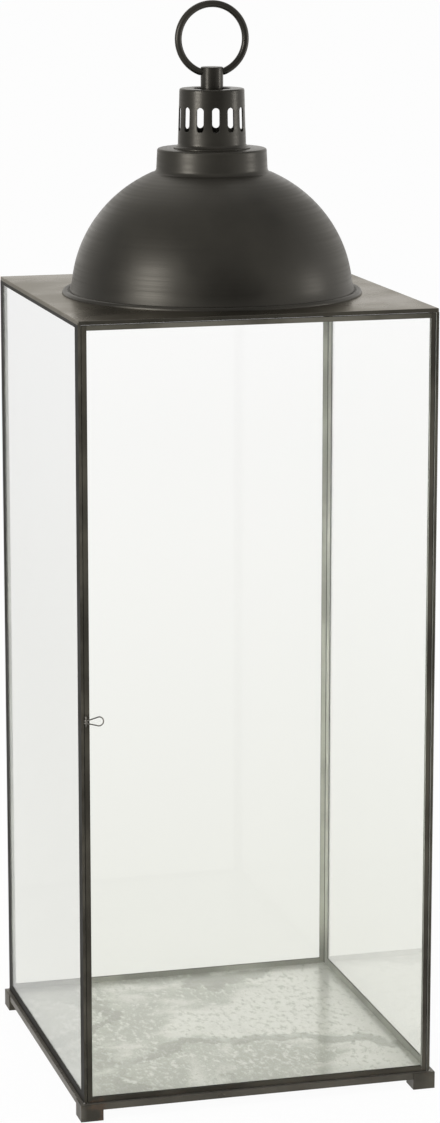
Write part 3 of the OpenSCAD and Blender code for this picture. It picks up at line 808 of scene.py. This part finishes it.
def dome_profile():
    collar_foot = COLLAR_RADIUS + COLLAR_DRAFT
    join_radius = collar_foot + COLLAR_FILLET
    join_share = math.sqrt(1 - (join_radius / DOME_RADIUS) ** 2)
    join_height = DOME_RISE * join_share
    slope = math.degrees(math.atan(DOME_RISE * join_radius / (DOME_RADIUS**2 * join_share)))
    first, last = math.asin(BEAD_CREASE / DOME_RISE), math.asin(join_height / DOME_RISE)
    outer = dome_wall(DOME_RISE, first, last, 0.0)
    inner = dome_wall(DOME_RISE - DOME_SHEET, last, 0.0, DOME_SHEET)
    rise = collar_top - plate_top
    fillet = arc((join_radius, join_height + COLLAR_FILLET), COLLAR_FILLET, 270 - slope, 180)
    rim = arc((COLLAR_RADIUS - COLLAR_RIM, rise - COLLAR_RIM), COLLAR_RIM, 0, 90)
    under = [(NECK_RADIUS, rise), (NECK_RADIUS, rise - DOME_SHEET),
             (COLLAR_RADIUS - COLLAR_RIM - DOME_SHEET, rise - DOME_SHEET),
             (COLLAR_RADIUS - DOME_SHEET, rise - COLLAR_RIM - DOME_SHEET),
             (collar_foot - DOME_SHEET, join_height)]
    foot = [(dome_radius(0) - DOME_SHEET, 0.0)]
    points = foot + dome_bead() + outer + fillet + rim + under + inner[:-1]
    return [(r, plate_top + z) for r, z in points]


dome = stand_for(spin("spun_dome", dome_profile(), spun_black, DOME_TURNS), "dome")
print("dome", len(dome.data.polygons), "faces")

# %% [markdown]
# ## The chimney and its slots
# The chimney is turned in the same way. Its vent slots repeat round the wall, so a second tree
# sets one cutter on each point of a circle and cuts them all out at once. The count, the width
# and the height of the slots are inputs, so that the row can be changed without new modelling.

# %% Chimney wall
CHIMNEY_RADIUS = 29.7 * MM
CHIMNEY_FOOT = 31.2 * MM
CHIMNEY_SHEET = 1.2 * MM
CHIMNEY_RIM = 1.6 * MM
CHIMNEY_TURNS = 208
SPREAD_RADIUS = 35.4 * MM
SPREAD_CHAMFER = 0.5 * MM
SPREAD_FILLET = 3.6 * MM
MOUTH_RADIUS = 17.0 * MM


def chimney_profile():
    height = chimney_top - collar_top
    spread_foot = [(CHIMNEY_FOOT - CHIMNEY_SHEET, 0.0), (SPREAD_RADIUS, 0.0),
                   (SPREAD_RADIUS, CHIMNEY_SHEET - SPREAD_CHAMFER),
                   (SPREAD_RADIUS - SPREAD_CHAMFER, CHIMNEY_SHEET)]
    hollow = arc((CHIMNEY_FOOT + SPREAD_FILLET, CHIMNEY_SHEET + SPREAD_FILLET), SPREAD_FILLET,
                 270, 180)
    rim = arc((CHIMNEY_RADIUS - CHIMNEY_RIM, height - CHIMNEY_RIM), CHIMNEY_RIM, 0, 90)
    mouth = [(MOUTH_RADIUS, height), (MOUTH_RADIUS, height - CHIMNEY_SHEET),
             (CHIMNEY_RADIUS - CHIMNEY_SHEET, height - CHIMNEY_SHEET)]
    return [(r, collar_top + z) for r, z in spread_foot + hollow + rim + mouth]


chimney = spin("slotted_chimney", chimney_profile(), spun_black, CHIMNEY_TURNS)
print("chimney wall", len(chimney.data.polygons), "faces")

# %% Slot cutters
SLOT_COUNT = 13
SLOT_WIDTH = 6.8 * MM
SLOT_HEIGHT = 22.5 * MM
SLOT_DROP = 16.0 * MM  # from the chimney's top to the slots' tops
SLOT_PHASE = -8.2  # degrees from the front to the first slot, less than 0 to the left
CUTTER_DEPTH = 16.0 * MM
CUTTER_SIDES = 32
SHARP_SLOT = 35.0


def slot_tree():
    tree, given, out = geometry_tree("Vent slots", [
        ("Count", INT, SLOT_COUNT), ("Ring radius", FLOAT, CHIMNEY_RADIUS),
        ("Width", FLOAT, SLOT_WIDTH), ("Height", FLOAT, SLOT_HEIGHT), ("Middle", FLOAT, 0.9),
        ("Phase", FLOAT, 0.0), ("Material", MATERIAL, None)])
    half = times(tree, given["Width"], 0.5)
    straight = times(tree, maths(tree, "SUBTRACT", given["Height"], given["Width"]), 0.5)
    disc = add(tree, "GeometryNodeMeshCylinder",
               {"Vertices": CUTTER_SIDES, "Radius": half, "Depth": CUTTER_DEPTH}, fill_type="NGON")
    pair = add(tree, "GeometryNodeJoinGeometry")
    for way in (1.0, -1.0):
        lift = add(tree, "ShaderNodeCombineXYZ", {"Y": times(tree, straight, way)}).outputs[0]
        end = add(tree, "GeometryNodeTransform",
                  {"Geometry": disc.outputs["Mesh"], "Translation": lift}).outputs[0]
        tree.links.new(end, pair.inputs[0])
    capsule = add(tree, "GeometryNodeConvexHull", {"Geometry": pair.outputs[0]}).outputs[0]
    circle = add(tree, "GeometryNodeMeshCircle",
                 {"Vertices": given["Count"], "Radius": given["Ring radius"]})
    index = add(tree, "GeometryNodeInputIndex").outputs[0]
    step = maths(tree, "DIVIDE", times(tree, index, math.tau), given["Count"])
    facing = add(tree, "ShaderNodeCombineXYZ",
                 {"X": math.pi / 2, "Z": maths(tree, "ADD", step, math.pi / 2)}).outputs[0]
    cutters = add(tree, "GeometryNodeInstanceOnPoints",
                  {"Points": circle.outputs["Mesh"], "Instance": capsule,
                   "Rotation": facing}).outputs[0]
    turned = add(tree, "ShaderNodeCombineXYZ", {"Z": given["Phase"]}).outputs[0]
    raised = add(tree, "ShaderNodeCombineXYZ", {"Z": given["Middle"]}).outputs[0]
    placed = add(tree, "GeometryNodeTransform",
                 {"Geometry": cutters, "Translation": raised, "Rotation": turned}).outputs[0]
    solid = add(tree, "GeometryNodeRealizeInstances", {"Geometry": placed}).outputs[0]
    cut = add(tree, "GeometryNodeMeshBoolean", {0: given["Geometry"]}, operation="DIFFERENCE",
              solver="EXACT")
    tree.links.new(solid, cut.inputs["Mesh 2"])
    end_tree(tree, cut.outputs["Mesh"], given["Material"], out)
    return tree


run_tree(chimney, slot_tree(), {
    "Count": SLOT_COUNT, "Ring radius": CHIMNEY_RADIUS, "Width": SLOT_WIDTH, "Height": SLOT_HEIGHT,
    "Middle": chimney_top - SLOT_DROP - SLOT_HEIGHT / 2, "Phase": math.radians(SLOT_PHASE - 90),
    "Material": spun_black})
finish_mesh(chimney.data, spun_black, SHARP_SLOT)
stand_for(chimney, "chimney")
print("chimney", len(chimney.data.polygons), "faces,", SLOT_COUNT, "slots")

# %% [markdown]
# ## Stem, bridge, screw and pins
# These small turned and flat parts keep their measured shape. The stem shows between the mouth
# and the ring. The bridge and the screw are only seen down the chimney, and the pins that the
# door turns on are hidden.

# %% Small fittings
STEM_EDGE = 0.15 * MM
FITTING_EDGE = 0.2 * MM
fittings = [dress("stem", spun_black, STEM_EDGE), dress("stem_bridge", frame_black, FITTING_EDGE),
            dress("stem_screw", wire_steel, FITTING_EDGE), dress("door_pivot_pins", wire_steel)]
print("fittings", [fitting.name for fitting in fittings])

# %% [markdown]
# ## Bending wire
# The ring, the pull and its staple are all round wire bent along a path. One tree does them: it
# takes the path's points, rounds the corners and sweeps a circle along it. A path is easier to
# set right than a tube, because only the wire's middle has to be measured.


# %% The wire bender
WIRE_SIDES = 16
BEND_STEPS = 6
SHARP_WIRE = 60.0


def wire_tree():
    tree, given, out = geometry_tree("Bent wire", [
        ("Radius", FLOAT, 0.001), ("Bend", FLOAT, 0.0), ("Sides", INT, WIRE_SIDES),
        ("Material", MATERIAL, None)])
    path = add(tree, "GeometryNodeMeshToCurve", {"Mesh": given["Geometry"]}).outputs[0]
    bent = add(tree, "GeometryNodeFilletCurve",
               {"Curve": path, "Radius": given["Bend"], "Count": BEND_STEPS}, mode="POLY")
    bent.inputs["Limit Radius"].default_value = True
    section = add(tree, "GeometryNodeCurvePrimitiveCircle",
                  {"Resolution": given["Sides"], "Radius": given["Radius"]}, mode="RADIUS")
    tube = add(tree, "GeometryNodeCurveToMesh",
               {"Curve": bent.outputs[0], "Profile Curve": section.outputs["Curve"],
                "Fill Caps": True}).outputs[0]
    end_tree(tree, tube, given["Material"], out)
    return tree


bender = wire_tree()


def bend_wire(name, points, radius, corner, material, sides=WIRE_SIDES, closed=False):
    piece = new_piece(name, path_mesh(name, points, closed))
    run_tree(piece, bender,
             {"Radius": radius, "Bend": corner, "Sides": sides, "Material": material})
    outward(piece.data)
    finish_mesh(piece.data, material, SHARP_WIRE)
    return piece


print("wire tree", len(bender.nodes), "nodes")

# %% The carrying ring
RING_WIRE = 3.2 * MM
RING_RADIUS = 31.6 * MM
RING_CHORD = 11.4 * MM  # half of the straight part that lies in the stem
RING_BEND = 1.5 * MM
RING_STEPS = 96
RING_SIDES = 32
ring_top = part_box("ring")[1][2]
ring_middle = ring_top - RING_WIRE - RING_RADIUS
ring_start = math.degrees(math.asin(RING_CHORD / RING_RADIUS))
bow = arc((0.0, ring_middle), RING_RADIUS, ring_start - 90, 270 - ring_start, RING_STEPS)
ring_path = [(x, 0.0, z) for x, z in bow]
ring = bend_wire("carrying_ring", ring_path, RING_WIRE, RING_BEND, spun_black, RING_SIDES,
                 closed=True)
stand_for(ring, "ring")
print("ring", len(ring.data.polygons), "faces, top at", round(ring_top, 4))

# %% The wire pull
PULL_WIRE = 0.575 * MM
PULL_BEND = 0.5 * MM
PULL_REACH = 11.6 * MM
PULL_ROUND = 4.1 * MM
ROUND_END = 120.0  # degrees to either side, where the round end meets the legs
ROUND_END_STEPS = 24
EYE_RADIUS = 1.305 * MM
EYE_HALF_PITCH = 1.1 * MM
EYE_OPEN = 20.0  # degrees, where each eye's wire starts
EYE_STEPS = 16
STAPLE_WIRE = 0.65 * MM
STAPLE_BEND = 0.8 * MM
staple_low, staple_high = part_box("pull_staple")
staple_x = (staple_low[0] + staple_high[0]) / 2
staple_y = staple_low[1] + STAPLE_WIRE
pull_z = (staple_low[2] + staple_high[2]) / 2


def eye_path(height):
    turn = arc((staple_x, staple_y), EYE_RADIUS, EYE_OPEN, 270, EYE_STEPS)
    return [(x, y, pull_z + height) for x, y in turn]


round_end = arc((staple_x + PULL_REACH, pull_z), PULL_ROUND, ROUND_END, -ROUND_END, ROUND_END_STEPS)
pull_path = eye_path(EYE_HALF_PITCH) + [(x, staple_y - EYE_RADIUS, z) for x, z in round_end]
pull_path += eye_path(-EYE_HALF_PITCH)[::-1]
pull = bend_wire("wire_pull", pull_path, PULL_WIRE, PULL_BEND, wire_steel)
stand_for(pull, "pull_loop")
print("pull", len(pull.data.polygons), "faces")

# %% The pull's staple
leg_end = -case_half
staple_top = staple_high[2] - STAPLE_WIRE
staple_bottom = staple_low[2] + STAPLE_WIRE
staple_path = [(staple_x, leg_end, staple_top), (staple_x, staple_y, staple_top),
               (staple_x, staple_y, staple_bottom), (staple_x, leg_end, staple_bottom)]
staple = bend_wire("pull_staple_wire", staple_path, STAPLE_WIRE, STAPLE_BEND, wire_steel)
stand_for(staple, "pull_staple")
print("staple", len(staple.data.polygons), "faces")

# %% [markdown]
# ## Solder beads
# The channels of such a case are soldered at their corners, and each joint leaves a small uneven
# bead. A tree sets one lumpy bead on each joint, with a size and a turn of its own from a fixed
# seed, so that no two look alike and every run gives the same ones.


# %% Solder beads
BEAD_SIZES = 0.7, 1.15
BEAD_TURN = (0.5, 0.5, 0.5)
LUMP_SCALE = 900.0
LUMP_SHARE = 1.1
SHARP_BEAD = 60.0


def bead_tree():
    tree, given, out = geometry_tree("Solder beads", [
        ("Size", FLOAT, 0.001), ("Seed", INT, 3), ("Material", MATERIAL, None)])
    ball = add(tree, "GeometryNodeMeshIcoSphere",
               {"Radius": given["Size"], "Subdivisions": 3}).outputs["Mesh"]
    here = add(tree, "GeometryNodeInputPosition").outputs[0]
    lumps = maths(tree, "SUBTRACT", noise(tree, here, LUMP_SCALE, 1.0), 0.5)
    push = times(tree, lumps, times(tree, given["Size"], LUMP_SHARE))
    normal = add(tree, "GeometryNodeInputNormal").outputs[0]
    offset = add(tree, "ShaderNodeVectorMath", {0: normal, "Scale": push},
                 operation="SCALE").outputs[0]
    lumpy = add(tree, "GeometryNodeSetPosition", {"Geometry": ball, "Offset": offset}).outputs[0]
    size = add(tree, "FunctionNodeRandomValue",
               {"Seed": given["Seed"], 2: BEAD_SIZES[0], 3: BEAD_SIZES[1]}, data_type="FLOAT")
    turn = add(tree, "FunctionNodeRandomValue",
               {"Seed": given["Seed"], 1: BEAD_TURN}, data_type="FLOAT_VECTOR")
    beads = add(tree, "GeometryNodeInstanceOnPoints",
                {"Points": given["Geometry"], "Instance": lumpy, "Rotation": turn.outputs[0],
                 "Scale": size.outputs[1]}).outputs[0]
    end_tree(tree, beads, given["Material"], out)
    return tree


BEAD_SIZE = 0.9 * MM
BEAD_SEED = 5
BEAD_PROUD = 0.1 * MM
BEAD_ABOVE_DECK = 0.6 * MM
bead_out, bead_up = case_half + BEAD_PROUD, deck_top + BEAD_ABOVE_DECK
bead_places = [(sx * bead_out, sy * bead_out, bead_up) for sx in (-1, 1) for sy in (-1, 1)]
bead_points = bpy.data.meshes.new("solder_at_posts")
bead_points.from_pydata(bead_places, [], [])
solder = new_piece("solder_at_posts", bead_points)
run_tree(solder, bead_tree(), {"Size": BEAD_SIZE, "Seed": BEAD_SEED, "Material": solder_grey})
finish_mesh(solder.data, solder_grey, SHARP_BEAD)
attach(solder, "case")
print("solder", len(bead_places), "beads,", len(solder.data.polygons), "faces")

# %% [markdown]
# ## Glass panes
# The panes are the measured ones: plain flat sheets with nothing to round. Only their material
# is set.

# %% Panes
panes = "left_glass", "right_glass", "back_glass", "door_glass"
for node in panes:
    pane = frame["nodes"][node]
    pane.data.materials.clear()
    pane.data.materials.append(glass)
print("panes", len(panes))

# %% [markdown]
# ## The studio
# A pale floor under a white surround, a large soft light at each side and one above, from behind.
# The camera and the glass see plain white. What metal mirrors is darker in front, at the left and
# overhead, as if dark screens stood there, and this gives the black steel its shape. What lights
# the lantern is lower than white, so that colours render as they are written.

# %% Floor
WHITE, BLACK = (1, 1, 1, 1), (0, 0, 0, 1)
FLOOR_REACH = 30.0
FLOOR_WHITE = (0.86, 0.86, 0.85, 1)
FLOOR_SEEN = 0.96  # the share that is seen as white, and the rest takes the lantern's shadow
FLOOR_ROUGHNESS = 0.9
FRONT_DARK, LEFT_DARK = 0.72, 0.35
FRONT_COSINES = 0.74, 0.98  # of the angle from straight in front, from the side in
FRONT_METRES = 2.6, 4.0
LEFT_METRES = -0.35, 0.05
LEFT_LEAN = 0.12  # the left part's border leans with y


def studio_floor():
    mesh = bpy.data.meshes.new("studio_floor")
    low, high = -FLOOR_REACH, FLOOR_REACH
    mesh.from_pydata([(low, low, 0), (high, low, 0), (high, high, 0), (low, high, 0)], [],
                     [(0, 1, 2, 3)])
    floor = new_piece("studio_floor", mesh)
    material, tree, shader, coordinates = new_material("studio_white")
    mesh.materials.append(material)
    shader.inputs["Base Color"].default_value = FLOOR_WHITE
    shader.inputs["Roughness"].default_value = FLOOR_ROUGHNESS
    ray = add(tree, "ShaderNodeLightPath").outputs
    place = coordinates["Object"]
    spot = axes(tree, place)
    away = add(tree, "ShaderNodeVectorMath", {0: place}, operation="LENGTH").outputs["Value"]
    toward = maths(tree, "DIVIDE", times(tree, spot["Y"], -1.0), away)
    front = times(tree, spread(tree, toward, *FRONT_COSINES), spread(tree, away, *FRONT_METRES))
    left = maths(tree, "ADD", spot["X"], times(tree, spot["Y"], LEFT_LEAN))
    left = spread(tree, left, *LEFT_METRES, 1.0, 0.0)
    dark = maths(tree, "MAXIMUM", times(tree, front, FRONT_DARK), times(tree, left, LEFT_DARK))
    # A ray that has gone through glass counts as glossy too, and it has to see white.
    mirrored = maths(tree, "SUBTRACT", ray["Is Glossy Ray"], ray["Is Transmission Ray"], clamp=True)
    sheet = blend_colours(tree, times(tree, dark, mirrored), WHITE, BLACK)
    white = add(tree, "ShaderNodeEmission", {"Color": sheet, "Strength": 1.0}).outputs[0]
    seen = maths(tree, "MAXIMUM", ray["Is Camera Ray"],
                 maths(tree, "MAXIMUM", ray["Is Glossy Ray"], ray["Is Transmission Ray"]))
    mix = add(tree, "ShaderNodeMixShader",
              {0: times(tree, seen, FLOOR_SEEN), 1: shader.outputs[0], 2: white})
    tree.links.new(mix.outputs[0], tree.nodes["Material Output"].inputs["Surface"])


studio_floor()
print("floor", 2 * FLOOR_REACH, "m across")

# %% Surround
SURROUND_LIGHT = (0.62, 0.62, 0.62, 1)
MIRRORED_FRONT = -0.98, -0.74, 0.28, 1.0  # from and to, as parts of a direction, and the levels
MIRRORED_LEFT = -0.9, -0.1, 0.6, 1.0
MIRRORED_OVERHEAD = 0.25, 0.85, 1.0, 0.5


def studio_world():
    world = bpy.data.worlds.new("studio_world")
    world.use_nodes = True
    bpy.context.scene.world = world
    tree = world.node_tree
    tree.nodes.clear()
    ray = add(tree, "ShaderNodeLightPath").outputs
    way = axes(tree, add(tree, "ShaderNodeTexCoord").outputs["Generated"])
    front = spread(tree, way["Y"], *MIRRORED_FRONT)
    left = spread(tree, way["X"], *MIRRORED_LEFT)
    overhead = spread(tree, way["Z"], *MIRRORED_OVERHEAD)
    mirror = blend_colours(tree, times(tree, times(tree, front, left), overhead), BLACK, WHITE)
    colour = blend_colours(tree, ray["Is Glossy Ray"], SURROUND_LIGHT, mirror)
    seen = maths(tree, "MAXIMUM", ray["Is Camera Ray"], ray["Is Transmission Ray"])
    colour = blend_colours(tree, seen, colour, WHITE)
    back = add(tree, "ShaderNodeBackground", {"Color": colour, "Strength": 1.0}).outputs[0]
    tree.links.new(back, add(tree, "ShaderNodeOutputWorld").inputs["Surface"])


studio_world()
print("surround lights at", SURROUND_LIGHT[0])

# %% Lamps
LAMPS_AIM = Vector((0, 0, 0.55))


def soft_lamp(name, azimuth, elevation, distance, size, power):
    """A square soft light that faces the lantern. Azimuth 0 is in front, and 90 to the right."""
    a, e = math.radians(azimuth), math.radians(elevation)
    way = Vector((math.sin(a) * math.cos(e), -math.cos(a) * math.cos(e), math.sin(e)))
    light = bpy.data.lights.new(name, "AREA")
    light.shape = "RECTANGLE"
    light.size, light.size_y = size
    light.energy = power
    lamp = bpy.data.objects.new(name, light)
    lamp.location = LAMPS_AIM + way * distance
    lamp.rotation_euler = way.to_track_quat("Z", "Y").to_euler()
    lamp.visible_camera = False
    bpy.context.scene.collection.objects.link(lamp)
    print("lamp", name, power, "W")


soft_lamp("left_softbox", -66, 17, 2.6, (0.8, 1.1), 40)
soft_lamp("right_softbox", 73, 2, 2.6, (0.6, 1.1), 14)
soft_lamp("top_softbox", 180, 60, 3.2, (2.2, 2.2), 14)
